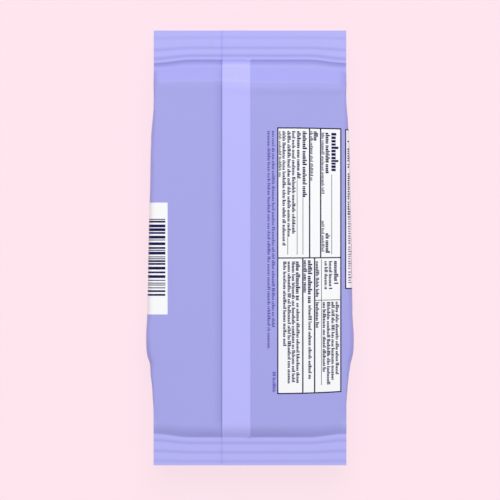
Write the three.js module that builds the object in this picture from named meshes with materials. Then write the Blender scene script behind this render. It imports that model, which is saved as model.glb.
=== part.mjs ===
// A travel pack of wet wipes, sealed in printed film and lying on its front with its back up.
// Millimetres. X runs across the pack, Y along it and Z up. Z = 0 is the table, and the origin
// lies under the middle of the pack.
//
// The film is one piece. It is wrapped round the stack of wipes, its two edges are joined in a
// fin along the back, each end is pressed flat in a ribbed seal, and between the seal and the
// stack the sides are tucked inwards. The film and its contents are drawn as one solid, whose
// section is the folded film's own outline, drawn again at each station along the pack.
import * as THREE from "three";

// The whole pack
const packLength = 195; // over both end seals
const bodyThickness = 18; // of the filled body at its middle
const backCrown = 0.8; // how far the back rises from its edges to its middle
const shoulderWidth = 4.2; // of the rounding between a face and a side
const shoulderPower = 3.4; // 2 is an ellipse, and more is squarer

// End seals
const sealWidth = 86.4; // also the body's width where it meets the seals
const upperSealDepth = 13.1; // from the outer edge to the crease, at mid width
const lowerSealDepth = 12.6;
const sealThickness = 0.6; // the films and the tucked sides, pressed together
const upperSealLevel = 11.4; // middle of the seal above the front face
const lowerSealLevel = 15.1;
const upperGrooves = [2, 5.3, 10]; // distances of the pressed grooves from the crease
const lowerGrooves = [2.8, 7, 11];
const grooveDepth = 0.15;
const grooveWidth = 0.75; // half of a groove's width near its mouth
const creaseBow = 1.6; // how far the crease turns towards the body at the seal's corners
const creaseStraight = 0.6; // share of the half width over which the crease is straight
const bowFade = 14; // length of body over which the bow of the crease dies away

// Slopes between the seals and the stack. An ease is two shares of a slope's length, over
// which it steepens at the seal and levels out at the stack.
const upperSlope = 13; // the contents have settled towards the lower end
const upperEase = [0.3, 0.5];
const lowerSlope = 7;
const lowerEase = [0, 1];
const frontSlope = 15; // the same at both ends
const frontEase = [0, 0.8];
const upperStep = 1; // how far the back drops just past the crease
const lowerStep = 0.15;
const upperStepWidth = 1.5; // length over which it drops by two thirds of that
const lowerStepWidth = 0.5;

// Sides tucked inwards at each end
const tuckDepth = 11; // at the crease
const tuckLength = 15; // from the crease to where the tuck ends
const foldRadius = 0.3; // of the film's edge at the crease
const edgeRadius = 1.6; // of the film's edge along the tuck
const edgeFade = 3; // length over which one grows into the other
const shoulderFrom = 12; // from the crease to where the shoulder begins to widen
const shoulderTo = 36; // and to where it is at its full width

// Swell of the sides beyond the seals: share of the way from the lower crease to the upper
// one, and millimetres on each side
const sideSwell = [
  [0.062, 0],
  [0.11, 0.5],
  [0.163, 1.35],
  [0.192, 1.85],
  [0.213, 2.85],
  [0.234, 3.35],
  [0.275, 3.4],
  [0.334, 2.9],
  [0.5, 2.35],
  [0.648, 1.85],
  [0.766, 1.45],
  [0.831, 0.8],
  [0.885, 0.05],
  [0.914, 0],
];

// Fin along the back, folded over to the left
const finRoot = 0.2; // X of the fold that the fin stands on
const finWidth = 12.5;
const finThickness = 0.3; // two films sealed face to face
const finGap = 0.3; // under the loose edge
const finRootGap = 0.12; // under the fin beside its root
const pressedGap = 0.08; // the same inside the end seals
const pressedThickness = 0.3;
const finFold = 0.3; // width of the fold at the root
const pressedFold = 0.3; // depth left under the loose edge inside the end seals
const finFade = 3.5; // length over which the fin leaves the seal and loosens
const hollowDepth = 0.95; // how far the back sinks along the loose edge
const hollowWidth = 4.4;
const pressedHollow = 0.2; // share of that depth left inside the end seals

// Peel-and-reseal flap on the front
const flapLength = 96;
const flapWidth = 56;
const flapCorner = 9;
const flapThickness = 0.3;
const tabWidth = 22;
const tabReach = 9; // how far the pull tab stands out of the flap's end

// Fineness of the mesh
const grooveRows = [-1.6, -0.8, 0, 0.8, 1.6]; // places across a groove, in groove widths
const slopeRows = 10; // from the crease to the end of the slopes and the tuck
const bodyRows = 22;
const leftColumns = 5;
const hollowColumns = 3;
const rightColumns = 9;
const frontColumns = 10;
const sideSteps = 12;
const firstSlopeRow = 0.3; // from the crease to the first row past it

const frontLevel = flapThickness;
const backLevel = frontLevel + bodyThickness - backCrown;
const bodyLength = packLength - upperSealDepth - lowerSealDepth;

const filmMaterial = new THREE.MeshStandardMaterial({
  color: 0xa9a8e8,
  roughness: 0.42,
  metalness: 0,
});
const flapMaterial = new THREE.MeshStandardMaterial({
  color: 0xc2c0f6,
  roughness: 0.3,
  metalness: 0,
});

const { lerp, clamp, smoothstep } = THREE.MathUtils;

// A smooth curve through [place, value] pairs, level beyond the first and the last.
function through(points, at) {
  const last = points.length - 1;
  if (at <= points[0][0]) return points[0][1];
  if (at >= points[last][0]) return points[last][1];
  const next = points.findIndex(([place]) => place > at);
  const slopeAt = (k) => {
    if (k === 0 || k === last) return 0;
    const run = points[k + 1][0] - points[k - 1][0];
    return (points[k + 1][1] - points[k - 1][1]) / run;
  };
  const [x0, y0] = points[next - 1];
  const [x1, y1] = points[next];
  const run = x1 - x0;
  const t = (at - x0) / run;
  const rest = 1 - t;
  return (
    y0 * (1 + 2 * t) * rest * rest +
    slopeAt(next - 1) * run * t * rest * rest +
    y1 * t * t * (3 - 2 * t) -
    slopeAt(next) * run * t * t * rest
  );
}

// Height of a slope, from 0 to 1, at a share t of its length.
function rise(t, [easeIn, easeOut]) {
  const steep = 1 / (1 - easeIn / 2 - easeOut / 2);
  const left = 1 - clamp(t, 0, 1);
  if (left < easeOut) return 1 - (steep * left * left) / (2 * easeOut);
  if (t < easeIn) return (steep * t * t) / (2 * easeIn);
  return steep * (t - easeIn / 2);
}

// What the film does at one place along the pack.
function stationAt(y) {
  const side = Math.sign(y) || 1;
  const upper = side > 0;
  const fromEnd = packLength / 2 - Math.abs(y);
  const sealDepth = upper ? upperSealDepth : lowerSealDepth;
  const sealMiddle = frontLevel + (upper ? upperSealLevel : lowerSealLevel);
  const pastCrease = fromEnd - sealDepth;
  const inSeal = pastCrease <= 0;
  const backRise = (past) =>
    upper ? rise(past / upperSlope, upperEase) : rise(past / lowerSlope, lowerEase);
  const risen = inSeal ? 0 : backRise(pastCrease);
  const frontRisen = inSeal ? 0 : rise(pastCrease / frontSlope, frontEase);
  const steepness = inSeal
    ? 0
    : (backRise(pastCrease + 0.5) - backRise(Math.max(pastCrease - 0.5, 0))) *
      (backLevel - sealMiddle);
  const inGrooves = (upper ? upperGrooves : lowerGrooves).map((place) =>
    Math.exp(-(((pastCrease + place) / grooveWidth) ** 2)),
  );
  const pressedIn = inSeal ? grooveDepth * Math.max(...inGrooves) : 0;
  const step = upper ? upperStep : lowerStep;
  const stepWidth = upper ? upperStepWidth : lowerStepWidth;
  const dropped = step * (1 - Math.exp(-Math.max(pastCrease, 0) / stepWidth));
  const bodyShare = (y + packLength / 2 - lowerSealDepth) / bodyLength;
  return {
    y,
    side,
    halfWidth: sealWidth / 2 + through(sideSwell, bodyShare),
    top: lerp(sealMiddle + sealThickness / 2 - dropped, backLevel, risen) - pressedIn,
    bottom: lerp(sealMiddle - sealThickness / 2, frontLevel, frontRisen) - pressedIn,
    crown: backCrown * risen,
    bow: creaseBow * (inSeal ? fromEnd / sealDepth : clamp(1 - pastCrease / bowFade, 0, 1)),
    tuck: inSeal ? 0 : tuckDepth * clamp(1 - pastCrease / tuckLength, 0, 1),
    shoulder: lerp(
      lerp(foldRadius, edgeRadius, smoothstep(pastCrease, 0, edgeFade)),
      shoulderWidth,
      smoothstep(pastCrease, shoulderFrom, shoulderTo),
    ),
    loose: smoothstep(pastCrease, 0, finFade),
    stretch: Math.hypot(1, steepness),
  };
}

// A point of a section, moved along the pack by the bow of the crease.
function placed(station, x, z) {
  const out = Math.abs(x) / (sealWidth / 2);
  const bow = station.bow * smoothstep(out, creaseStraight, 1);
  return new THREE.Vector3(x, station.y - station.side * bow, z);
}

// The side of a section, from the edge of the back to the edge of the front. It is rounded out
// over the stack and folded inwards to a V where it is tucked, and its widest place is always
// at the half width.
function sideOf(station) {
  const points = [];
  for (let i = 0; i <= sideSteps; i++) {
    const angle = (Math.PI * i) / sideSteps;
    const up = Math.sign(Math.cos(angle)) * Math.abs(Math.cos(angle)) ** (2 / shoulderPower);
    const out = Math.abs(Math.sin(angle)) ** (2 / shoulderPower);
    const depth = station.shoulder * (1 - out) + station.tuck * (1 - Math.abs(up));
    points.push({ up, depth });
  }
  const least = Math.min(...points.map(({ depth }) => depth));
  return points.map(({ up, depth }) => ({ up, x: station.halfWidth - depth + least }));
}

// The film's folded outline across the pack: over the back from left to right with the fin,
// down the right side, back along the front and up the left side.
function sectionAt(y) {
  const station = stationAt(y);
  const side = sideOf(station);
  const flat = side[0].x;
  const backAt = (x) => station.top + station.crown * (1 - (x / station.halfWidth) ** 2);
  const points = [];
  const add = (x, z) => points.push(placed(station, x, z));

  const finEdge = finRoot - finWidth;
  const edgeGap = lerp(pressedGap, finGap, station.loose) * station.stretch;
  const rootGap = lerp(pressedGap, finRootGap, station.loose) * station.stretch;
  const finAt = (x) => backAt(x) + lerp(rootGap, edgeGap, (finRoot - x) / finWidth);
  const thick = lerp(pressedThickness, finThickness, station.loose) * station.stretch;
  const innermost = lerp(finEdge + pressedFold, finRoot - finFold, station.loose);
  const hollowAt = (x) =>
    hollowDepth *
    lerp(pressedHollow, 1, station.loose) *
    smoothstep(x, finEdge - hollowWidth, finEdge) *
    (1 - smoothstep(x, finEdge, finRoot));
  for (let i = 0; i < leftColumns; i++) {
    const x = lerp(-flat, finEdge - hollowWidth, i / (leftColumns - 1));
    add(x, backAt(x));
  }
  for (let i = 1; i <= hollowColumns; i++) {
    const x = lerp(finEdge - hollowWidth, finEdge - finFold / 2, i / hollowColumns);
    add(x, backAt(x) - hollowAt(x));
  }
  add(innermost, backAt(innermost));
  add(innermost, finAt(innermost));
  add(finEdge, finAt(finEdge));
  add(finEdge, finAt(finEdge) + thick);
  add(finRoot - finFold, finAt(finRoot - finFold) + thick);
  add(finRoot, backAt(finRoot) + 0.6 * (rootGap + thick));
  for (let i = 0; i < rightColumns; i++) {
    const x = lerp(finRoot + finFold / 2, flat, i / (rightColumns - 1));
    add(x, backAt(x));
  }

  const edge = backAt(flat);
  const middle = (edge + station.bottom) / 2;
  const half = (edge - station.bottom) / 2;
  for (const { x, up } of side.slice(1, -1)) add(x, middle + half * up);
  for (let i = 0; i <= frontColumns; i++) add(lerp(flat, -flat, i / frontColumns), station.bottom);
  for (const { x, up } of side.slice(1, -1).reverse()) add(-x, middle + half * up);
  return points;
}

// Rows of one end seal, as distances from the crease, with one in the bottom of each groove.
function sealRows(depth, grooves) {
  const rows = grooves.flatMap((place) => grooveRows.map((at) => place + at * grooveWidth));
  return [0, ...rows.filter((at) => at > 0.2 && at < depth - 0.2), depth];
}

// Places of the sections along the pack, from the lower end to the upper one.
function stations() {
  const endRows = (depth, grooves, slope) => {
    const rows = sealRows(depth, grooves).map((at) => depth - at).reverse();
    const reach = Math.max(slope, frontSlope, tuckLength);
    for (let i = 0; i <= slopeRows; i++) {
      rows.push(depth + lerp(firstSlopeRow, reach, (i / slopeRows) ** 1.2));
    }
    return rows;
  };
  const half = packLength / 2;
  const lower = endRows(lowerSealDepth, lowerGrooves, lowerSlope).map((at) => at - half);
  const upper = endRows(upperSealDepth, upperGrooves, upperSlope).map((at) => half - at);
  upper.reverse();
  const from = lower.at(-1);
  const to = upper[0];
  const body = [];
  for (let i = 1; i < bodyRows; i++) body.push(lerp(from, to, i / bodyRows));
  return [...lower, ...body, ...upper];
}

// Joins a row of sections into one closed surface with an end face at each end.
function loft(sections) {
  const count = sections[0].length;
  const corners = sections.flatMap((section) => section.flatMap((p) => [p.x, p.y, p.z]));
  const faces = [];
  for (let row = 0; row + 1 < sections.length; row++) {
    for (let i = 0; i < count; i++) {
      const j = (i + 1) % count;
      const [a, b, c, d] = [i, j, j + count, i + count].map((k) => k + row * count);
      faces.push(a, b, c, a, c, d);
    }
  }
  const closeEnd = (row, facing) => {
    const outline = sections[row].map((p) => new THREE.Vector2(p.x, p.z));
    for (const face of THREE.ShapeUtils.triangulateShape(outline, [])) {
      const [p, q, r] = face.map((k) => outline[k]);
      const turn = (q.x - p.x) * (r.y - p.y) - (q.y - p.y) * (r.x - p.x);
      const order = turn * facing > 0 ? face : [face[0], face[2], face[1]];
      faces.push(...order.map((k) => k + row * count));
    }
  };
  closeEnd(0, 1);
  closeEnd(sections.length - 1, -1);
  const geometry = new THREE.BufferGeometry();
  geometry.setAttribute("position", new THREE.Float32BufferAttribute(corners, 3));
  geometry.setIndex(faces);
  geometry.computeVertexNormals();
  return geometry;
}

// The flap's outline: a rounded rectangle whose upper end runs out into a round pull tab.
function flapOutline() {
  const x = flapWidth / 2;
  const y = flapLength / 2;
  const outline = new THREE.Shape();
  outline.moveTo(-x + flapCorner, -y);
  outline.lineTo(x - flapCorner, -y);
  outline.absarc(x - flapCorner, -y + flapCorner, flapCorner, -Math.PI / 2, 0);
  outline.lineTo(x, y - flapCorner);
  outline.absarc(x - flapCorner, y - flapCorner, flapCorner, 0, Math.PI / 2);
  outline.lineTo(tabWidth / 2, y);
  outline.bezierCurveTo(tabWidth / 3, y + tabReach, -tabWidth / 3, y + tabReach, -tabWidth / 2, y);
  outline.lineTo(-x + flapCorner, y);
  outline.absarc(-x + flapCorner, y - flapCorner, flapCorner, Math.PI / 2, Math.PI);
  outline.lineTo(-x, -y + flapCorner);
  outline.absarc(-x + flapCorner, -y + flapCorner, flapCorner, Math.PI, 1.5 * Math.PI);
  return outline;
}

function sealedPack() {
  const pack = new THREE.Mesh(loft(stations().map(sectionAt)), filmMaterial);
  pack.name = "sealed_pack";
  return pack;
}

function resealFlap() {
  const sheet = new THREE.ExtrudeGeometry(flapOutline(), {
    depth: flapThickness,
    bevelEnabled: false,
    curveSegments: 10,
  });
  const flap = new THREE.Mesh(sheet, flapMaterial);
  flap.name = "reseal_flap";
  flap.position.y = (lowerSlope - upperSlope) / 2; // the middle of the stack
  return flap;
}

const pack = new THREE.Group();
pack.add(sealedPack(), resealFlap());

export default pack;
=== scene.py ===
import math
import random

import bpy
import numpy as np
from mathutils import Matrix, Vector


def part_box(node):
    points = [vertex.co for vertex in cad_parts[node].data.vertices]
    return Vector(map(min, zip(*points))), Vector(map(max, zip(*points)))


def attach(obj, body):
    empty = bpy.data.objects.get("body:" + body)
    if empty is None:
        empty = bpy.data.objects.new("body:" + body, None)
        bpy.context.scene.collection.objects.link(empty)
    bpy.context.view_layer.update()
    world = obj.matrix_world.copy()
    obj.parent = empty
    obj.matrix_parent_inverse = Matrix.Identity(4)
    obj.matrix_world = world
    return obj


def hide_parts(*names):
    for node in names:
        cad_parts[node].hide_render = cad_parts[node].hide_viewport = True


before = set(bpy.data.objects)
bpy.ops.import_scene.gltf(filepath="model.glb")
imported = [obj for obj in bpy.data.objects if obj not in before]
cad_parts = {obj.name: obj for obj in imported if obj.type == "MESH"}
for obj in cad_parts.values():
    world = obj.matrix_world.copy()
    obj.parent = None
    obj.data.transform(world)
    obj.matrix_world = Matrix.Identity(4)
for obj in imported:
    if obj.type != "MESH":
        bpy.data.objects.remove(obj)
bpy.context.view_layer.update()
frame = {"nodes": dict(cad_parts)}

mm = 0.001
print("frame loaded:", ", ".join(frame["nodes"]))

# The film pack, in millimetres. Its length and levels come from the frame.
packLow, packHigh = (np.array(corner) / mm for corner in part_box("sealed_pack"))
pack = {
    "length": packHigh[1] - packLow[1],
    "frontLevel": packLow[2],
    "bodyThickness": 18.0,
    "backCrown": 0.8,
    "shoulderWidth": 4.2,
    "shoulderPower": 3.4,
    "sealWidth": 86.4,
    "upperSealDepth": 13.1,
    "lowerSealDepth": 12.6,
    "sealThickness": 0.6,
    "upperSealLevel": 12.0,  # middle of the seal above the front
    "lowerSealLevel": 15.7,
    "pressedEnd": (-0.5, 0.1),  # where the pressed film ends, past the crease
    "sealPaleness": 0.72,  # share of the pressed film's paler colour in the seals
    # pressed grooves: distance from the crease, share of the full depth
    "upperGrooves": ((1.5, 1.4), (5.1, 0.9), (9.7, 0.5)),
    "lowerGrooves": ((2.8, 1.0), (7.0, 0.9), (11.0, 0.7)),
    "grooveDepth": 0.1,
    "grooveWidth": 0.75,
    "paintedGrooveShade": 0.5,  # painted shade darkening the pressed grooves of the seals
    # painted shade darkening the left and right edges beside the upper slope
    "paintedEdgeShade": 0.5,
    "creaseBow": 1.6,
    "creaseStraight": 0.6,
    "upperStep": 2.0,  # how far the film drops past the crease
    "lowerStep": 0.1,
    "upperStepWidth": 3.2,
    "lowerStepWidth": 0.5,
    "crest": 0.35,  # over the edge of the stack of wipes
    "crestSpan": (8.3, 12.2),
    "ridge": (0.06, 0.2),  # left and right of the fin
    "ridgePlace": 13.2,
    "ridgeWidth": 1.5,
    "stackShift": 0.35,  # the stack's edge lies farther in at the right, and out at the left
    "shiftRise": (0.0, 9.0),
    "shiftFade": (15.0, 36.0),
    "bowFade": 14.0,
    "upperSlope": 10.0,
    "upperEase": (0.45, 0.05),  # shares of the slope eased in and out
    "lowerSlope": 5.6,
    "lowerEase": (0.0, 0.85),
    "frontSlope": 15.0,
    "frontEase": (0.0, 0.8),
    "tuckDepth": 11.0,
    "tuckLength": 15.0,
    "foldRadius": 0.3,  # of the sides at the crease
    "edgeRadius": 1.6,  # beside the slopes
    "edgeFrom": 3.0,  # where they reach it, past the crease
    "shoulderFrom": 12.0,  # where it starts to grow to the shoulder's width
    "shoulderTo": 36.0,
    "edgeRoll": (0.35, 0.5),  # how far the left and right edges turn down beside the slopes
    "rollWidth": (2.4, 4.2),
    "rollInset": 0.9,
    "rollLimit": 1.2,
    "rollRise": (2.0, 8.0),
    "rollFade": (9.0, 17.0),
    # where the painted edge shade rises, past the crease
    "paintedEdgeShadeRise": (2.0, 6.0),
    "paintedEdgeShadeDepth": 2.0,  # how far down the sides the painted edge shade reaches
    # how far the sides stand out: share of the body's length from its lower end, distance
    "sideSwell": [
        (0.062, 0), (0.11, 0.5), (0.163, 1.35), (0.192, 1.85), (0.213, 2.85),
        (0.234, 3.35), (0.275, 3.4), (0.334, 2.9), (0.5, 2.35), (0.648, 1.85),
        (0.766, 1.45), (0.831, 0.8), (0.885, 0.05), (0.914, 0),
    ],
}
# soft folds down the sides, deepest near the tucks
folds = {
    "spacing": 6.5,
    "slant": 0.35,
    "ends": 1.2,  # depth near the ends of the pack
    "middle": 0.5,
    "fade": (8.0, 22.0, 60.0),
    "table": (60, 4),
    "seed": 4,
}
# the fin seal, folded to the left, loose on the body and pressed flat in the seals
fin = {
    "root": 0.37,  # where it leaves the back, right of the middle
    "width": 12.8,
    "thickness": 0.3,
    "gap": 0.2,
    "rootGap": 0.12,
    "pressedGap": 0.08,
    "pressedThickness": 0.3,
    "fold": 0.3,  # width of the fold at its root
    "pressedRamp": 3.0,  # and of the ramp that it is in the seals
    "pressedFold": 0.3,  # depth of the gap under it there
    "fade": 7.0,  # how far past the crease it is loose
    "puff": 0.12,
    "hollow": 0.95,  # how far the film sinks beside and under its loose edge
    "hollowWidth": 4.4,
    "pressedHollow": 0.2,
    "beside": 0.5,
    "blend": 2.0,  # beyond the fin, from the left of the back to its right
    "edgeOut": (-0.04, -0.04, 0.02),  # the loose edge: places across, shares of the thickness
    "edgeUp": (0.25, 0.75, 1.0),
    "foldSteps": (0.25, 0.5, 0.75, 0.92),
    "foot": (0.05, 0.3, 0.8),  # places just right of the root
}
fineness = {
    "sealStep": 0.2,
    "creaseRows": (0.1, 0.22, 0.38),
    "slopeStep": 0.4,
    "slopeSpan": (0.6, 2.0),  # first row past the crease, last one past the slope
    "bodyStep": 1.2,
    "leftColumns": 38,
    "underColumns": 4,  # under the fin, and as many of its underside
    "finColumns": 12,
    "rightColumns": 46,
    "gather": 1.4,  # how much those beside the fin crowd towards the sides
    "sideSteps": 44,
    "frontColumns": 24,
    "sharpAngle": 38.0,
}


def smoothstep(x, low, high):
    t = np.clip((x - low) / (high - low), 0, 1)
    return t * t * (3 - 2 * t)


def lerp(a, b, t):
    return a + (b - a) * t


def through(points, at):
    # a smooth curve through (place, value) pairs, level beyond both ends
    xs, ys = (np.array(column, dtype=float) for column in zip(*points))
    slopes = np.zeros_like(xs)
    slopes[1:-1] = (ys[2:] - ys[:-2]) / (xs[2:] - xs[:-2])
    held = np.clip(at, xs[0], xs[-1])
    k = np.clip(np.searchsorted(xs, held, side="right") - 1, 0, len(xs) - 2)
    run = xs[k + 1] - xs[k]
    t = (held - xs[k]) / run
    rest = 1 - t
    return (
        ys[k] * (1 + 2 * t) * rest**2 + slopes[k] * run * t * rest**2
        + ys[k + 1] * t**2 * (3 - 2 * t) - slopes[k + 1] * run * t**2 * rest
    )


def rise(t, ease):
    # from 0 to 1 with a straight middle, eased in and out over shares of the length
    easeIn, easeOut = max(ease[0], 1e-6), ease[1]
    steep = 1 / (1 - easeIn / 2 - easeOut / 2)
    t = np.clip(t, 0, 1)
    straight = steep * (t - easeIn / 2)
    started = np.where(t < easeIn, steep * t**2 / (2 * easeIn), straight)
    return np.where(t > 1 - easeOut, 1 - steep * (1 - t) ** 2 / (2 * easeOut), started)


def stationsAt(ys):
    # what the film does at each place along the pack
    upper = ys >= 0
    fromEnd = pack["length"] / 2 - np.abs(ys)
    depth = np.where(upper, pack["upperSealDepth"], pack["lowerSealDepth"])
    past = fromEnd - depth
    inside = past > 0
    back = pack["frontLevel"] + pack["bodyThickness"] - pack["backCrown"]
    middle = pack["frontLevel"] + np.where(upper, pack["upperSealLevel"], pack["lowerSealLevel"])

    def risenAt(past):
        return np.where(
            upper, rise(past / pack["upperSlope"], pack["upperEase"]),
            rise(past / pack["lowerSlope"], pack["lowerEase"]),
        )

    risen = np.where(inside, risenAt(past), 0)
    frontRisen = np.where(inside, rise(past / pack["frontSlope"], pack["frontEase"]), 0)
    climbed = risenAt(past + 0.5) - risenAt(past - 0.5)  # over one millimetre
    steepness = np.where(inside, climbed * (back - middle), 0)
    grooves = np.zeros_like(past)
    for side, places in ((upper, pack["upperGrooves"]), (~upper, pack["lowerGrooves"])):
        for place, share in places:
            grooves += side * share * np.exp(-((past + place) / pack["grooveWidth"]) ** 2)
    pressedIn = pack["grooveDepth"] * grooves
    step = np.where(upper, pack["upperStep"], pack["lowerStep"])
    stepWidth = np.where(upper, pack["upperStepWidth"], pack["lowerStepWidth"])
    dropped = step * (1 - np.exp(-np.clip(past, 0, None) / stepWidth))
    begin, end = pack["crestSpan"]
    remaining = np.clip((end - past) / (end - begin), 0, 1) ** 2
    crest = upper * pack["crest"] * (1 - remaining)
    bodyLength = pack["length"] - pack["upperSealDepth"] - pack["lowerSealDepth"]
    share = (ys + pack["length"] / 2 - pack["lowerSealDepth"]) / bodyLength
    swell = through(pack["sideSwell"], share)
    besideSlope = 1 - smoothstep(past, *pack["rollFade"])
    return {
        "y": ys,
        "end": np.where(upper, 1.0, -1.0),
        "past": past,
        "halfWidth": pack["sealWidth"] / 2 + swell,
        "top": lerp(
            middle + pack["sealThickness"] / 2 - dropped, back - upper * pack["crest"], risen
        ) + crest - pressedIn,
        "ridge": upper * np.exp(-((past - pack["ridgePlace"]) / pack["ridgeWidth"]) ** 2),
        "bottom": lerp(middle - pack["sealThickness"] / 2, pack["frontLevel"], frontRisen)
        - pressedIn,
        "crown": pack["backCrown"] * risen,
        "bow": pack["creaseBow"] * np.where(
            inside, np.clip(1 - past / pack["bowFade"], 0, 1), fromEnd / depth
        ),
        "tuck": np.where(
            inside, pack["tuckDepth"] * np.clip(1 - past / pack["tuckLength"], 0, 1), 0
        ),
        "shoulder": lerp(
            lerp(pack["foldRadius"], pack["edgeRadius"], smoothstep(past, 0, pack["edgeFrom"])),
            pack["shoulderWidth"],
            smoothstep(past, pack["shoulderFrom"], pack["shoulderTo"]),
        ),
        "loose": smoothstep(past, 0, fin["fade"]),
        "roll": smoothstep(past, *pack["rollRise"]) * besideSlope,
        # where the painted edge shade lies along the pack: beside the upper slope only
        "paintedEdgeShade": upper * smoothstep(past, *pack["paintedEdgeShadeRise"]) * besideSlope,
        "stretch": np.hypot(1, steepness),
        "groove": grooves,
        "shifted": upper * smoothstep(past, *pack["shiftRise"])
        * (1 - smoothstep(past, *pack["shiftFade"])),
        "pressed": 1 - smoothstep(past, *pack["pressedEnd"]),
    }


def foldsAt(station, up, side):
    # a smooth field of seeded values, long from back to front and short along the pack
    dice = np.random.default_rng(folds["seed"] + side)
    along, down = folds["table"]
    values = dice.random((along, down))
    a = station["y"][:, None] / folds["spacing"] + along / 2 + folds["slant"] * up
    b = (down - 1) / 2 * (1 - up)
    i, j = np.floor(a).astype(int), np.minimum(np.floor(b).astype(int), down - 2)
    u, v = smoothstep(a - i, 0, 1), smoothstep(b - j, 0, 1)
    low = lerp(values[i, j], values[i + 1, j], u)
    high = lerp(values[i, j + 1], values[i + 1, j + 1], u)
    begin, full, end = folds["fade"]
    past = station["past"][:, None]
    size = lerp(folds["ends"], folds["middle"], smoothstep(past, full, end))
    return size * smoothstep(past, begin, full) * (1 - up**4) * lerp(low, high, v)


def sideOf(station, steps, side):
    # from the edge of the back to the edge of the front, widest at the half width
    angle = np.pi * np.arange(steps + 1) / steps
    power = 2 / pack["shoulderPower"]
    up = np.sign(np.cos(angle)) * np.abs(np.cos(angle)) ** power
    out = np.abs(np.sin(angle)) ** power
    depth = station["shoulder"][:, None] * (1 - out) + station["tuck"][:, None] * (1 - np.abs(up))
    depth = depth + foldsAt(station, up, side)
    least = depth.min(axis=1, keepdims=True)
    return station["halfWidth"][:, None] - depth + least, np.broadcast_to(up, depth.shape)


def rolledAt(station, x):
    # from 0 on the flat of the back to 1 at its edges
    past = np.abs(x) - station["halfWidth"][:, None] + pack["rollInset"]
    return np.clip(1 + past / np.where(x < 0, *pack["rollWidth"]), 0, pack["rollLimit"]) ** 2


def rightOfFin(x):
    # from 0 left of the fin to 1 right of it
    finEdge = fin["root"] - fin["width"]
    return smoothstep(x, finEdge - fin["blend"], fin["root"] + fin["blend"])


def backHeight(station, x):
    # level across the pack but for a slight crown and the roll of its edges
    crown = station["crown"][:, None] * (1 - (x / station["halfWidth"][:, None]) ** 2)
    roll = np.where(x < 0, *pack["edgeRoll"]) * station["roll"][:, None]
    ridge = lerp(*pack["ridge"], rightOfFin(x)) * station["ridge"][:, None]
    return station["top"][:, None] + crown + ridge - roll * rolledAt(station, x)


def hollow(station, x):
    # how far the film sinks beside and under the loose edge of the fin
    edge = fin["root"] - fin["width"]
    beside = smoothstep(x, edge - fin["hollowWidth"], edge)
    under = 1 - smoothstep(x, edge, fin["root"])
    return fin["hollow"] * beside * under * lerp(
        fin["pressedHollow"], 1, station["loose"][:, None]
    )


def bowed(station, x):
    # the place along the pack, moved by the bow of the crease
    out = np.abs(x) / (pack["sealWidth"] / 2)
    shift = station["bow"][:, None] * smoothstep(out, pack["creaseStraight"], 1)
    shift = shift + pack["stackShift"] * station["shifted"][:, None] * (2 * rightOfFin(x) - 1)
    return station["y"][:, None] - station["end"][:, None] * shift


def gridMesh(name, points, faces, attributes=()):
    # a smooth piece from points in millimetres, with values that its material reads
    mesh = bpy.data.meshes.new(name)
    mesh.from_pydata((points * mm).tolist(), [], faces)
    mesh.validate()
    mesh.polygons.foreach_set("use_smooth", [True] * len(mesh.polygons))
    mesh.set_sharp_from_angle(angle=math.radians(fineness["sharpAngle"]))
    for attributeName, values in attributes:
        layer = mesh.attributes.new(attributeName, "FLOAT", "POINT")
        layer.data.foreach_set("value", values.astype(np.float32))
    piece = bpy.data.objects.new(name, mesh)
    bpy.context.collection.objects.link(piece)
    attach(piece, "root")
    return piece


def rowPlaces():
    # stations along the pack, fine in the seals and the slopes
    def endRows(depth, slope):
        seal = np.linspace(0, depth, round(depth / fineness["sealStep"]) + 1)
        near = depth + np.array(fineness["creaseRows"])
        first, beyond = fineness["slopeSpan"]
        along = np.linspace(first, slope + beyond, round(slope / fineness["slopeStep"]) + 1)
        return np.concatenate([seal, near, depth + along])

    half = pack["length"] / 2
    lower = endRows(pack["lowerSealDepth"], pack["lowerSlope"]) - half
    upper = (half - endRows(pack["upperSealDepth"], pack["upperSlope"]))[::-1]
    count = round((upper[0] - lower[-1]) / fineness["bodyStep"])
    body = np.linspace(lower[-1], upper[0], count + 1)[1:-1]
    return np.concatenate([lower, body, upper])


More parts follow.
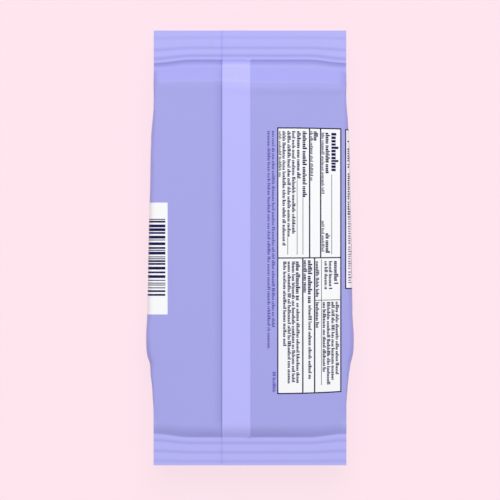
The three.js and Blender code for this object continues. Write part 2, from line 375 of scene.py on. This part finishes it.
def makeFilm():
    ys = rowPlaces()
    station = stationsAt(ys)
    leftX, sideUp = sideOf(station, fineness["sideSteps"], 0)
    rightX = sideOf(station, fineness["sideSteps"], 1)[0]
    finEdge = fin["root"] - fin["width"]
    xs, zs, masks = [], [], []

    def column(key):
        return station[key][:, None]

    def finAt(x):
        # the underside of the fin
        share = (fin["root"] - x) / fin["width"]
        return backHeight(station, x) + lerp(rootGap, edgeGap, share)

    def sideHeight(edgeX):
        edge = backHeight(station, edgeX)
        middle = (edge + column("bottom")) / 2
        return middle + (edge - column("bottom")) / 2 * sideUp

    def add(x, z, mask):
        shape = np.broadcast_shapes(x.shape, z.shape)
        for kept, values in ((xs, x), (zs, z), (masks, mask)):
            kept.append(np.broadcast_to(values, shape))

    edgeGap = lerp(fin["pressedGap"], fin["gap"], column("loose")) * column("stretch")
    rootGap = lerp(fin["pressedGap"], fin["rootGap"], column("loose")) * column("stretch")
    thick = lerp(fin["pressedThickness"], fin["thickness"], column("loose")) * column("stretch")
    innermost = lerp(finEdge + fin["pressedFold"], fin["root"] - fin["fold"], column("loose"))
    fold = lerp(fin["fold"], fin["pressedRamp"], column("pressed"))
    pressed = column("pressed") * pack["sealPaleness"]
    # the fin's top takes the paler colour in full as painted light, in the seals by their share
    finPressedAndPaintedLight = np.maximum(pressed, 1 - column("pressed"))
    # the back, left of the fin and on under it
    t = np.linspace(0, 1, fineness["leftColumns"])[None, :] ** fineness["gather"]
    x = lerp(-leftX[:, :1], finEdge - fin["beside"], t)
    add(x, backHeight(station, x) - hollow(station, x), pressed)
    count = fineness["underColumns"]
    x = lerp(finEdge - fin["beside"], innermost, np.linspace(1 / (count + 1), 1, count)[None, :])
    add(x, backHeight(station, x) - hollow(station, x), pressed)
    # the fin: its underside, its loose edge and its top
    x = lerp(innermost, finEdge, np.linspace(0, 1, count)[None, :])
    add(x, finAt(x), pressed)
    x = finEdge + np.array([fin["edgeOut"]])
    add(x, finAt(x) + thick * np.array([fin["edgeUp"]]), finPressedAndPaintedLight)
    t = np.linspace(0, 1, fineness["finColumns"])[None, 1:]
    x = lerp(finEdge + fin["edgeOut"][-1], fin["root"] - fold, t)
    puff = fin["puff"] * np.sin(np.pi * t) * column("loose")
    add(x, finAt(x) + thick + puff, finPressedAndPaintedLight)
    # down the fold at the root to the right of the back
    t = np.array([fin["foldSteps"]])
    x = fin["root"] - fold * (1 - t)
    down = lerp(1 - t**2, 1 - smoothstep(t, 0, 1), column("pressed"))
    add(x, backHeight(station, x) + (rootGap + thick) * down, finPressedAndPaintedLight)
    x = fin["root"] + np.array([fin["foot"][:-1]])
    add(x, backHeight(station, x), pressed)
    t = 1 - np.linspace(1, 0, fineness["rightColumns"])[None, :] ** fineness["gather"]
    x = lerp(fin["root"] + fin["foot"][-1], rightX[:, :1], t)
    add(x, backHeight(station, x), pressed)
    # the right side, the front and the left side
    add(rightX[:, 1:-1], sideHeight(rightX[:, :1])[:, 1:-1], pressed)
    t = np.linspace(0, 1, fineness["frontColumns"])[None, :]
    add(lerp(rightX[:, -1:], -leftX[:, -1:], t), column("bottom"), pressed)
    add(-leftX[:, -2:0:-1], sideHeight(-leftX[:, :1])[:, -2:0:-1], pressed)

    x, z = np.hstack(xs), np.hstack(zs)
    points = np.stack([x, bowed(station, x), z], axis=-1).reshape(-1, 3)
    index = np.arange(x.size).reshape(x.shape)
    turned = np.roll(index, -1, axis=1)
    quads = np.stack([index[:-1], turned[:-1], turned[1:], index[1:]], axis=-1).reshape(-1, 4)
    faces = quads.tolist() + [index[0][::-1].tolist(), index[-1].tolist()]
    # painted shade along the left and right edges beside the upper slope, near the top of the
    # sides
    onEdge = z > column("top") - pack["paintedEdgeShadeDepth"]
    paintedEdgeShading = rolledAt(station, x) * column("paintedEdgeShade") * onEdge
    # painted shade: darker in the pressed grooves and along those edges
    paintedShade = pack["paintedGrooveShade"] * np.clip(column("groove"), 0, 1) + pack["paintedEdgeShade"] * paintedEdgeShading
    piece = gridMesh("film_pack", points, faces, [
        ("pressed", np.hstack(masks).ravel()), ("paintedShade", paintedShade.ravel()),
    ])
    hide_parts("sealed_pack")
    return piece


film = makeFilm()
print("film pack:", len(film.data.polygons), "faces")

# The reseal flap on the front, with a soft rim. The score line of the opening behind it
# shows as a shallow groove.
flapLow, flapHigh = (np.array(corner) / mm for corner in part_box("reseal_flap"))
flap = {
    "corner": 9.0,
    "tabWidth": 22.0,
    "tabReach": 9.0,
    "rim": ((0, 0.14), (0.04, 0.06), (0.12, 0.015), (0.24, 0)),  # inset and level
    "scoreSize": (17.0, 36.0),  # half sizes
    "scoreCorner": 13.0,
    # outset and level of the groove, and of the last ring of the plain middle
    "score": ((0.5, 0), (0.22, 0.13), (0, 0.17), (-0.22, 0.13), (-0.5, 0), (-8.0, 0)),
    "steps": 360,
    "cornerSteps": 16,
    "tabSteps": 40,
    "samples": 4000,
}


def arcPoints(centre, radius, fromAngle):
    # a quarter of a circle
    t = np.radians(fromAngle + np.linspace(0, 90, flap["cornerSteps"]))
    return np.stack([centre[0] + radius * np.cos(t), centre[1] + radius * np.sin(t)], axis=-1)


def roundedOutline(x, y, corner, topEdge=()):
    # once round a rounded rectangle, with a shaped middle of its upper edge
    inner = (x - corner, y - corner)
    return np.concatenate([
        arcPoints((inner[0], -inner[1]), corner, -90),
        arcPoints(inner, corner, 0),
        np.reshape(topEdge, (-1, 2)),
        arcPoints((-inner[0], inner[1]), corner, 90),
        arcPoints((-inner[0], -inner[1]), corner, 180),
    ])


def radiusAt(outline, angles):
    # how far an outline lies from the origin in each direction
    closed = np.vstack([outline, outline[:1]])
    lengths = np.concatenate([[0], np.cumsum(np.hypot(*np.diff(closed, axis=0).T))])
    at = np.linspace(0, lengths[-1], flap["samples"])
    x, y = (np.interp(at, lengths, closed[:, axis]) for axis in (0, 1))
    return np.interp(angles, np.arctan2(y, x), np.hypot(x, y), period=2 * np.pi)


def makeFlap():
    # the curve of the tab reaches three quarters of the way to its handles
    tabHeight = 0.75 * flap["tabReach"]
    halfX = (flapHigh[0] - flapLow[0]) / 2
    halfY = (flapHigh[1] - tabHeight - flapLow[1]) / 2
    middle = flapLow[1] + halfY
    t = np.linspace(0, 1, flap["tabSteps"])
    tabX = lerp(flap["tabWidth"] / 2, -flap["tabWidth"] / 2, t)
    tabX = tabX + flap["tabWidth"] / 2 * t * (1 - t) * (2 * t - 1)
    tab = np.stack([tabX, halfY + 3 * flap["tabReach"] * t * (1 - t)], axis=-1)
    count = flap["steps"]
    angles = 2 * np.pi * np.arange(count) / count
    outer = radiusAt(roundedOutline(halfX, halfY, flap["corner"], tab), angles)
    score = radiusAt(roundedOutline(*flap["scoreSize"], flap["scoreCorner"]), angles)
    loops = [(outer, flapHigh[2])]
    loops += [(outer - inset, flapLow[2] + level) for inset, level in flap["rim"]]
    loops += [(score + outset, flapLow[2] + level) for outset, level in flap["score"]]
    points = np.concatenate([
        np.stack([r * np.cos(angles), middle + r * np.sin(angles), np.full(count, z)], axis=-1)
        for r, z in loops
    ])
    index = np.arange(len(points)).reshape(len(loops), count)
    turned = np.roll(index, -1, axis=1)
    quads = np.stack([index[:-1], index[1:], turned[1:], turned[:-1]], axis=-1).reshape(-1, 4)
    faces = quads.tolist() + [index[0].tolist(), index[-1][::-1].tolist()]
    piece = gridMesh("flap_film", points, faces)
    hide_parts("reseal_flap")
    return piece


resealFlap = makeFlap()
print("reseal flap:", len(resealFlap.data.polygons), "faces")

# The printed film lies on the same surface. A place on it is an arc across the back and
# round the shoulders, from the middle line, and a distance along the pack.
surface = {
    "alongStep": 0.5,
    "alongReach": 70.0,
    "acrossStep": 0.25,
    "acrossReach": 72.0,
    "flatColumns": 59,
    "sideSteps": 120,
}


def makeSurface():
    def steps(name):
        reach = surface[name + "Reach"]
        return np.arange(-reach, reach + 0.01, surface[name + "Step"])

    arcs, ys = steps("across"), steps("along")
    station = stationsAt(ys)
    bottom = station["bottom"][:, None]
    grid = np.zeros((len(ys), len(arcs), 3))
    for side, here in enumerate((arcs < 0, arcs >= 0)):
        sideX, sideUp = sideOf(station, surface["sideSteps"], side)
        flatX = sideX[:, :1] * np.linspace(0, 1, surface["flatColumns"] + 1)[None, :-1]
        edge = backHeight(station, sideX[:, :1])
        sideZ = (edge + bottom) / 2 + (edge - bottom) / 2 * sideUp
        x = np.hstack([flatX, sideX])
        z = np.hstack([backHeight(station, flatX), sideZ])
        away = np.abs(arcs[here])
        for k, y in enumerate(ys):
            gone = np.hypot(np.diff(x[k]), np.diff(z[k]))
            lengths = np.concatenate([[0], np.cumsum(gone)])
            grid[k, here, 0] = np.sign(arcs[here]) * np.interp(away, lengths, x[k])
            grid[k, here, 1] = y
            grid[k, here, 2] = np.interp(away, lengths, z[k])
    normal = np.cross(np.gradient(grid, axis=1), np.gradient(grid, axis=0))
    length = np.linalg.norm(normal, axis=-1, keepdims=True)
    return arcs, ys, grid, normal / np.maximum(length, 1e-9)  # none past the edge of the front


surfaceArcs, surfaceYs, surfacePoints, surfaceNormals = makeSurface()


def onSurface(arc, y, lift):
    # the point over a place on the film, read between the rows and columns of the grid
    a = np.clip((arc - surfaceArcs[0]) / surface["acrossStep"], 0, len(surfaceArcs) - 1.001)
    b = np.clip((y - surfaceYs[0]) / surface["alongStep"], 0, len(surfaceYs) - 1.001)
    i, j = a.astype(int), b.astype(int)
    u, v = (a - i)[..., None], (b - j)[..., None]

    def blended(table):
        low = lerp(table[j, i], table[j, i + 1], u)
        high = lerp(table[j + 1, i], table[j + 1, i + 1], u)
        return lerp(low, high, v)

    return blended(surfacePoints) + blended(surfaceNormals) * lift


def arcAt(x, y):
    # the arc whose point is seen at x from above
    rows = np.round((np.atleast_1d(y) - surfaceYs[0]) / surface["alongStep"]).astype(int)
    found = []
    outward = surfaceArcs[surfaceArcs >= 0]
    for row in np.clip(rows, 0, len(surfaceYs) - 1):
        across = surfacePoints[row, :, 0] if x > 0 else -surfacePoints[row, ::-1, 0]
        out = across[-len(outward):]
        out = out[:np.argmax(out) + 1]
        found.append(np.interp(abs(x), out, outward[:len(out)]))
    return np.sign(x) * np.array(found)


# Print is closed slips of ink or white, a few hundredths of a millimetre proud of the film.
slip = {"field": 0.05, "notes": 0.06, "rules": 0.075, "words": 0.09, "under": -0.04}
slipStep = {"along": 1.5, "across": 0.6}


def newPrint(name, level):
    return {"name": name, "lift": slip[level], "points": [], "faces": [], "count": 0}


def addPatch(layer, arcs, ys):
    # arcs and ys are grids of one shape, with rows along the pack
    n = arcs.size
    for lift in (layer["lift"], slip["under"]):
        layer["points"].append(onSurface(arcs, ys, lift).reshape(-1, 3))
    index = np.arange(n).reshape(arcs.shape) + layer["count"]
    a, b, c, d = index[:-1, :-1], index[:-1, 1:], index[1:, 1:], index[1:, :-1]
    upper = np.stack([a, b, c, d], axis=-1).reshape(-1, 4)
    rim = np.concatenate([index[0, :-1], index[:-1, -1], index[-1, :0:-1], index[:0:-1, 0]])
    after = np.roll(rim, -1)
    walls = np.stack([rim, rim + n, after + n, after], axis=-1)
    layer["faces"] += upper.tolist() + (upper[:, ::-1] + n).tolist() + walls.tolist()
    layer["count"] += 2 * n


def addStrip(layer, low, high, yFrom, yTo, pull=None):
    # a field between two arcs, which are given as functions of the place along the pack
    ys = np.linspace(yFrom, yTo, max(2, math.ceil((yTo - yFrom) / slipStep["along"]) + 1))
    left, right = low(ys)[:, None], high(ys)[:, None]
    columns = max(2, math.ceil(float(np.max(right - left)) / slipStep["across"]) + 1)
    arcs = lerp(left, right, np.linspace(0, 1, columns)[None, :])
    places = np.repeat(ys[:, None], columns, axis=1)
    addPatch(layer, arcs, places if pull is None else pull(arcs, places))


def makePrint(layer, material):
    piece = gridMesh(layer["name"], np.concatenate(layer["points"]), layer["faces"])
    piece.data.materials.append(material)


# The panel of small print on the back. It reads down the page towards -X and along the line
# towards -Y, so its sizes are counted from its upper right corner in those directions.
panel = {
    "right": 40.7,
    "width": 28.5,
    "top": 53.7,
    "length": 118.9,
    "border": 0.52,
    "outset": (0.22, 0.18, 0.33),  # how far the border lies beyond that: right, top, bottom
    "pull": 0.0113,  # how far the shoulder gathers the panel's ends
    "pullFrom": 39.6,
    "split": 58.3,
    "heavyRule": 0.58,
    "fineRule": 0.24,
    "columnRule": (77.4, 0.4, 11.5, 0.3),  # along the line, from and to down the page, width
    "seed": 5,
}
# down the page, from and to along the line
heavyRules = [(9.05, 0, 58.3), (14.0, 0, 58.3), (11.75, 58.3, 118.9), (17.05, 58.3, 118.9)]
fineRules = [
    (4.1, 20.8, 56.8), (17.0, 31.2, 56.8), (19.6, 23.1, 56.8), (23.8, 49.1, 56.8),
    (8.7, 59.0, 115.6),
]
# down the page, from and to along the line, kind of type
lines = [
    (2.7, 2.0, 19.5, "title"),
    (5.9, 2.0, 20.0, "bold"), (5.9, 47.3, 56.1, "bold"),
    (8.0, 2.0, 29.4, "small"), (8.0, 41.7, 55.7, "small"),
    (11.2, 1.5, 5.8, "bold"), (13.0, 1.5, 23.5, "small"),
    (16.2, 1.5, 30.7, "bold"),
    (18.8, 1.5, 22.6, "semibold"),
    (21.1, 1.5, 47.3, "text"), (23.2, 1.5, 49.1, "text"),
    (25.4, 1.5, 52.7, "text"), (27.2, 1.5, 22.2, "small"),
    (2.1, 59.9, 70.4, "bold"), (4.6, 59.9, 72.9, "text"), (6.6, 59.9, 72.5, "text"),
    (10.5, 59.9, 76.1, "text"), (10.5, 78.3, 89.5, "text"),
    (1.6, 78.3, 111.4, "text"), (3.5, 78.3, 113.3, "text"),
    (5.5, 78.3, 115.6, "text"), (7.4, 78.3, 109.6, "text"),
    (13.8, 59.4, 78.7, "bold"), (13.8, 79.6, 112.7, "text"), (15.9, 59.4, 73.8, "text"),
    (19.2, 59.9, 77.5, "bold"), (19.2, 78.5, 114.4, "text"),
    (21.2, 59.9, 113.8, "text"), (23.1, 59.9, 114.4, "text"), (25.1, 59.9, 97.6, "text"),
    (30.2, 1.5, 89.1, "fine"), (32.2, 1.5, 98.5, "fine"), (29.9, 109.3, 118.2, "fine"),
]
# kinds of type: height of the line, stroke, gap between strokes, gap between words
kinds = {
    "title": (3.7, 1.05, 0.36, 1.1),
    "bold": (2.3, 0.62, 0.2, 0.6),
    "semibold": (2.0, 0.56, 0.2, 0.55),
    "text": (1.8, 0.48, 0.2, 0.5),
    "small": (1.5, 0.34, 0.24, 0.5),
    "fine": (1.6, 0.42, 0.28, 0.5),
    "edge": (2.7, 0.6, 0.42, 0.7),
    "violet": (3.0, 0.48, 0.62, 0.7),
}
# how a stroke stands in its line, as shares of the line's height, and how strokes vary
strokes = {
    "below": 0.42,
    "tall": 0.84,
    "reaches": (0.62, 0.62, 0.7, 1.0),  # shares of a tall stroke
    "widths": (0.8, 1.2),
    "gaps": (0.8, 1.25),
    "perWord": (3, 12),
}


def panelPull(arcs, ys):
    # places along the pack, gathered more the nearer they are to the shoulder
    share = np.clip((arcs - panel["right"] + panel["width"]) / panel["width"], 0, 1)
    return ys + panel["pull"] * share**2 * (panel["top"] - panel["pullFrom"] - ys)


def addType(layer, right, top, down, start, end, kind, dice, pull=None, parts=1):
    # words of plain upright strokes, each made of parts where it has to follow a bend
    height, stroke, gap, space = kinds[kind]
    low = right - (down + height * strokes["below"])
    along = start
    left = dice.randint(*strokes["perWord"])
    while along < end - stroke / 2:
        high = low + height * dice.choice(strokes["reaches"]) * strokes["tall"]
        width = stroke * dice.uniform(*strokes["widths"])
        arcs = np.tile(np.linspace(low, high, parts + 1), (2, 1))
        ys = np.repeat([[top - along - width], [top - along]], parts + 1, axis=1)
        addPatch(layer, arcs, ys if pull is None else pull(arcs, ys))
        along += width + gap * dice.uniform(*strokes["gaps"])
        left -= 1
        if left == 0 and along < end - 2 * space:
            along += space
            left = dice.randint(*strokes["perWord"])


def makePanel(whiteInk, darkInk, wordInk, softInk):
    top, right = panel["top"], panel["right"]
    left, bottom = right - panel["width"], top - panel["length"]
    beyondRight, beyondTop, beyondBottom = panel["outset"]
    white, ink = newPrint("panel_field", "field"), newPrint("panel_rules", "rules")

    def field(layer, low, high, yFrom, yTo):
        addStrip(layer, lambda ys: np.full(len(ys), low), lambda ys: np.full(len(ys), high),
                 yFrom, yTo, panelPull)

    def rule(down, start, end, width):
        middle = right - down
        field(ink, middle - width / 2, middle + width / 2, top - end, top - start)

    def crossRule(along, downFrom, downTo, width):
        middle = top - along
        field(ink, right - downTo, right - downFrom, middle - width / 2, middle + width / 2)

    field(white, left, right + beyondRight, bottom - beyondBottom, top + beyondTop)
    half = panel["border"] / 2
    start, end = -beyondTop, panel["length"] + beyondBottom
    for down in (half - beyondRight, panel["width"] - half):
        rule(down, start, end, panel["border"])
    for along in (start + half, end - half, panel["split"]):
        crossRule(along, -beyondRight, panel["width"], panel["border"])
    for down, start, end in heavyRules:
        rule(down, start, end, panel["heavyRule"])
    for down, start, end in fineRules:
        rule(down, start, end, panel["fineRule"])
    crossRule(*panel["columnRule"])
    words, notes = newPrint("panel_words", "words"), newPrint("panel_notes", "notes")
    dice = random.Random(panel["seed"])
    for down, start, end, kind in lines:
        layer = notes if down > panel["width"] else words
        addType(layer, right, top, down, start, end, kind, dice, panelPull)
    makePrint(white, whiteInk)
    makePrint(ink, darkInk)
    makePrint(words, wordInk)
    makePrint(notes, softInk)


# A second panel runs from the right shoulder down the side.
sidePanel = {
    "seenFrom": 42.6,  # from above
    "width": 15.0,
    "top": 53.1,
    "bottom": -18.5,
    "border": 0.5,
    "bends": 4,  # parts of each stroke
    "seed": 11,
}
# down the page, from and to along the line, kind of type
sideLines = [
    (2.35, 5.2, 6.4, "edge"), (2.35, 8.6, 17.6, "edge"), (2.35, 19.8, 38.2, "edge"),
    (2.65, 39.0, 69.6, "violet"), (5.8, 5.2, 66.0, "text"), (7.8, 5.2, 69.0, "text"),
    (9.8, 5.2, 52.0, "text"), (11.8, 5.2, 60.0, "text"),
]


def makeSidePanel(whiteInk, darkInk, wordInk, mauveInk):
    top, bottom, border = sidePanel["top"], sidePanel["bottom"], sidePanel["border"]

    def inner(ys):
        return arcAt(sidePanel["seenFrom"], ys)

    def outer(ys):
        return inner(ys) + sidePanel["width"]

    white = newPrint("side_panel_field", "field")
    addStrip(white, inner, outer, bottom, top)
    ink = newPrint("side_panel_rules", "rules")
    addStrip(ink, inner, lambda ys: inner(ys) + border, bottom, top)
    addStrip(ink, lambda ys: outer(ys) - border, outer, bottom, top)
    for y in (top - border, bottom):
        addStrip(ink, inner, outer, y, y + border)
    words = newPrint("side_panel_words", "words")
    notes = newPrint("side_panel_notes", "words")
    dice = random.Random(sidePanel["seed"])
    middle = float(arcAt(sidePanel["seenFrom"], (top + bottom) / 2)[0])
    for down, start, end, kind in sideLines:
        layer = notes if kind == "violet" else words
        # down this page is outward, and addType counts inward
        addType(layer, middle + 2 * down, top, down, start, end, kind, dice,
                parts=sidePanel["bends"])
    makePrint(white, whiteInk)
    makePrint(ink, darkInk)
    makePrint(words, wordInk)
    makePrint(notes, mauveInk)


# A white field with plain bars runs from the left shoulder down the side.
bars = {
    "seenFrom": 36.9,  # from above
    "width": 25.0,
    "top": 20.2,
    "bottom": -29.9,
    "inset": 1.0,
    "barTop": 12.9,
    "barBottom": -21.8,
    "barLength": 20.5,
    "unit": 0.42,
    "barUnits": (1, 1, 2, 2, 3),
    "gapUnits": (1, 1, 2, 2),
    "seed": 3,
}


def makeBars(whiteInk, wordInk):
    def inner(ys):
        return arcAt(-bars["seenFrom"], ys)

    def right(ys):
        return inner(ys) - bars["inset"]

    white = newPrint("bar_field", "field")
    addStrip(white, lambda ys: inner(ys) - bars["width"], inner, bars["bottom"], bars["top"])
    ink = newPrint("bar_marks", "rules")
    dice = random.Random(bars["seed"])
    y = bars["barTop"]
    while y > bars["barBottom"]:
        width = bars["unit"] * dice.choice(bars["barUnits"])
        addStrip(ink, lambda ys: right(ys) - bars["barLength"], right, y - width, y)
        y -= width + bars["unit"] * dice.choice(bars["gapUnits"])
    makePrint(white, whiteInk)
    makePrint(ink, wordInk)


# Colours, sRGB 0 to 255
colours = {
    "film": (164, 164, 231),
    "pressedFilmAndPaintedLight": (183, 182, 250),  # the seals, paler where the film is doubled, and the fin, paler as painted light
    "paintedShadeColour": (217, 217, 226),  # painted shade: multiplies the film's colour in the grooves and at the upper edges
    "flap": (186, 185, 246),
    "white": (247, 248, 250),
    "ink": (10, 4, 58),
    "words": (18, 12, 84),
    "softInk": (96, 84, 176),
    "mauveInk": (138, 80, 164),
    "floor": (254, 229, 238),
}


def linear(name, share=1.0):
    # a colour in the form that the shaders take, darkened to a share of itself
    def one(value):
        v = value / 255
        return v / 12.92 if v <= 0.04045 else ((v + 0.055) / 1.055) ** 2.4

    return tuple(one(v) * share for v in colours[name]) + (1.0,)


def makeGrainGroup():
    # the fine grain of rolled film: a height for the bump and a slow drift for the colour
    group = bpy.data.node_groups.new("filmGrain", "ShaderNodeTree")
    sockets = group.interface
    for name, value in (("Grain Size", 0.4), ("Drift Size", 30.0)):  # in millimetres
        socket = sockets.new_socket(name=name, in_out="INPUT", socket_type="NodeSocketFloat")
        socket.default_value = value
    for name in ("Height", "Drift"):
        sockets.new_socket(name=name, in_out="OUTPUT", socket_type="NodeSocketFloat")
    nodes, links = group.nodes, group.links
    entry = nodes.new("NodeGroupInput")
    leave = nodes.new("NodeGroupOutput")
    place = nodes.new("ShaderNodeTexCoord")
    for size, output, detail in (("Grain Size", "Height", 3.0), ("Drift Size", "Drift", 1.0)):
        scale = nodes.new("ShaderNodeMath")
        scale.operation = "DIVIDE"
        scale.inputs[0].default_value = 1 / mm
        links.new(entry.outputs[size], scale.inputs[1])
        noise = nodes.new("ShaderNodeTexNoise")
        noise.inputs["Detail"].default_value = detail
        links.new(place.outputs["Object"], noise.inputs["Vector"])
        links.new(scale.outputs[0], noise.inputs["Scale"])
        links.new(noise.outputs["Fac"], leave.inputs[output])
    return group


def mixColour(nodes, blend="MIX"):
    # the sockets of a new mix: share, first colour, second colour and result
    mix = nodes.new("ShaderNodeMix")
    mix.data_type = "RGBA"
    mix.blend_type = blend
    return mix.inputs[0], mix.inputs[6], mix.inputs[7], mix.outputs[2]


# What all finishes share, then each finish. Depths and the sizes of grain and drift are in
# millimetres.
finish = {"ior": 1.48, "roughSpread": 0.05, "bumpDepth": 0.02}
looks = {
    "film": {
        "gloss": 0.3, "roughness": 0.5,
        "grainSize": 0.5, "bump": 0.4, "driftSize": 35.0, "drift": 0.97,
    },
    "ink": {
        "gloss": 0.12, "roughness": 0.45,
        "grainSize": 0.5, "bump": 0.3, "driftSize": 8.0, "drift": 0.85,
    },
    "white": {
        "gloss": 0.4, "roughness": 0.45,
        "grainSize": 0.5, "bump": 0.3, "driftSize": 20.0, "drift": 0.985,
    },
    "flap": {
        "gloss": 0.5, "roughness": 0.3,
        "grainSize": 0.35, "bump": 0.3, "driftSize": 25.0, "drift": 0.97,
    },
}


def filmMaterial(name, colour, grain, look, layers=()):
    # film or ink on film: the same grain shows through both
    material = bpy.data.materials.new(name)
    material.use_nodes = True
    nodes, links = material.node_tree.nodes, material.node_tree.links
    shader = nodes["Principled BSDF"]
    shader.inputs["IOR"].default_value = finish["ior"]
    shader.inputs["Specular IOR Level"].default_value = look["gloss"]
    texture = nodes.new("ShaderNodeGroup")
    texture.node_tree = grain
    texture.inputs["Grain Size"].default_value = look["grainSize"]
    texture.inputs["Drift Size"].default_value = look["driftSize"]
    share, low, high, result = mixColour(nodes)
    low.default_value = linear(colour)
    high.default_value = linear(colour, look["drift"])
    links.new(texture.outputs["Drift"], share)
    for blend, layerColour, attributeName in layers:
        layerShare, under, over, mixed = mixColour(nodes, blend)
        over.default_value = linear(layerColour)
        mask = nodes.new("ShaderNodeAttribute")
        mask.attribute_name = attributeName
        links.new(mask.outputs["Fac"], layerShare)
        links.new(result, under)
        result = mixed
    links.new(result, shader.inputs["Base Color"])
    rough = nodes.new("ShaderNodeMapRange")
    rough.inputs["To Min"].default_value = look["roughness"] - finish["roughSpread"]
    rough.inputs["To Max"].default_value = look["roughness"] + finish["roughSpread"]
    links.new(texture.outputs["Drift"], rough.inputs["Value"])
    links.new(rough.outputs["Result"], shader.inputs["Roughness"])
    bump = nodes.new("ShaderNodeBump")
    bump.inputs["Strength"].default_value = look["bump"]
    bump.inputs["Distance"].default_value = finish["bumpDepth"] * mm
    links.new(texture.outputs["Height"], bump.inputs["Height"])
    links.new(bump.outputs["Normal"], shader.inputs["Normal"])
    return material


grain = makeGrainGroup()
# the film: paler in the seals where it is doubled, paler on the fin as painted light, and darker
# by painted shade in the grooves and at the upper edges
filmFinish = filmMaterial(
    "lilac film", "film", grain, looks["film"],
    [("MIX", "pressedFilmAndPaintedLight", "pressed"), ("MULTIPLY", "paintedShadeColour", "paintedShade")],
)
whiteInk = filmMaterial("white ink", "white", grain, looks["white"])
darkInk = filmMaterial("dark ink", "ink", grain, looks["ink"])
wordInk = filmMaterial("blue ink", "words", grain, looks["ink"])
softInk = filmMaterial("violet ink", "softInk", grain, looks["ink"])
mauveInk = filmMaterial("mauve ink", "mauveInk", grain, looks["ink"])
flapFinish = filmMaterial("flap film", "flap", grain, looks["flap"])
film.data.materials.append(filmFinish)
resealFlap.data.materials.append(flapFinish)
makePanel(whiteInk, darkInk, wordInk, softInk)
makeSidePanel(whiteInk, darkInk, wordInk, mauveInk)
makeBars(whiteInk, wordInk)
print("print and materials made")

# The studio, in metres, with the lens and its sensor in millimetres.
studio = {
    "floorSize": 6.0,
    "floorRoughness": 0.9,
    "floorGlow": 0.9,  # share of the floor's own colour, the rest is light and shadow
    "worldStrength": 0.52,
    "lampSize": 2.0,
    "lampPower": 53.0,
    "lampPlace": (0.08, 1.6, 2.25),
    "lens": 300.0,
    "sensor": 36.0,
    "clip": (0.05, 20.0),
    "viewWidth": 0.2245,
    "viewMiddle": (0.0, -0.00103),
    "viewLevel": 0.0125,  # the height at which the view is that wide
}


def shownRays(nodes, links):
    # 1 where the background is looked at: straight, in a reflection or through glass
    path = nodes.new("ShaderNodeLightPath")
    shown = path.outputs["Is Camera Ray"]
    for ray in ("Is Glossy Ray", "Is Transmission Ray"):
        either = nodes.new("ShaderNodeMath")
        either.operation = "MAXIMUM"
        links.new(shown, either.inputs[0])
        links.new(path.outputs[ray], either.inputs[1])
        shown = either.outputs[0]
    return shown


def makeFloor():
    half = studio["floorSize"] / 2
    corners = [(-half, -half, 0), (half, -half, 0), (half, half, 0), (-half, half, 0)]
    mesh = bpy.data.meshes.new("floor")
    mesh.from_pydata(corners, [], [(0, 1, 2, 3)])
    floor = bpy.data.objects.new("floor", mesh)
    bpy.context.collection.objects.link(floor)
    material = bpy.data.materials.new("pale floor")
    material.use_nodes = True
    nodes, links = material.node_tree.nodes, material.node_tree.links
    shader = nodes["Principled BSDF"]
    shader.inputs["Base Color"].default_value = linear("floor")
    shader.inputs["Roughness"].default_value = studio["floorRoughness"]
    shader.inputs["Specular IOR Level"].default_value = 0.0
    glow = nodes.new("ShaderNodeEmission")
    glow.inputs["Color"].default_value = linear("floor")
    share = nodes.new("ShaderNodeMath")
    share.operation = "MULTIPLY"
    share.inputs[1].default_value = studio["floorGlow"]
    mix = nodes.new("ShaderNodeMixShader")
    links.new(shownRays(nodes, links), share.inputs[0])
    links.new(share.outputs[0], mix.inputs[0])
    links.new(shader.outputs[0], mix.inputs[1])
    links.new(glow.outputs[0], mix.inputs[2])
    links.new(mix.outputs[0], nodes["Material Output"].inputs["Surface"])
    mesh.materials.append(material)


def makeLight():
    world = bpy.data.worlds.new("studio")
    bpy.context.scene.world = world
    world.use_nodes = True
    nodes, links = world.node_tree.nodes, world.node_tree.links
    nodes.clear()
    soft = nodes.new("ShaderNodeBackground")
    soft.inputs["Color"].default_value = (1, 1, 1, 1)
    soft.inputs["Strength"].default_value = studio["worldStrength"]
    seen = nodes.new("ShaderNodeBackground")
    seen.inputs["Color"].default_value = linear("floor")
    seen.inputs["Strength"].default_value = 1.0
    mix = nodes.new("ShaderNodeMixShader")
    links.new(shownRays(nodes, links), mix.inputs[0])
    links.new(soft.outputs[0], mix.inputs[1])
    links.new(seen.outputs[0], mix.inputs[2])
    output = nodes.new("ShaderNodeOutputWorld")
    links.new(mix.outputs[0], output.inputs["Surface"])
    lamp = bpy.data.lights.new("overhead", "AREA")
    lamp.size = studio["lampSize"]
    lamp.energy = studio["lampPower"]
    lampObject = bpy.data.objects.new("overhead", lamp)
    lampObject.location = studio["lampPlace"]
    aim = -Vector(studio["lampPlace"])
    lampObject.rotation_euler = aim.to_track_quat("-Z", "Y").to_euler()
    bpy.context.collection.objects.link(lampObject)


def makeCamera():
    # straight above the pack, far enough off for a long lens
    data = bpy.data.cameras.new("camera")
    data.lens = studio["lens"]
    data.sensor_width = studio["sensor"]
    data.clip_start, data.clip_end = studio["clip"]
    distance = studio["lens"] * studio["viewWidth"] / studio["sensor"]
    camera = bpy.data.objects.new("camera", data)
    x, y = studio["viewMiddle"]
    camera.location = (x, y, studio["viewLevel"] + distance)
    bpy.context.collection.objects.link(camera)
    bpy.context.scene.camera = camera


makeFloor()
makeLight()
makeCamera()
bpy.context.scene.view_settings.view_transform = "Standard"
print("studio made")
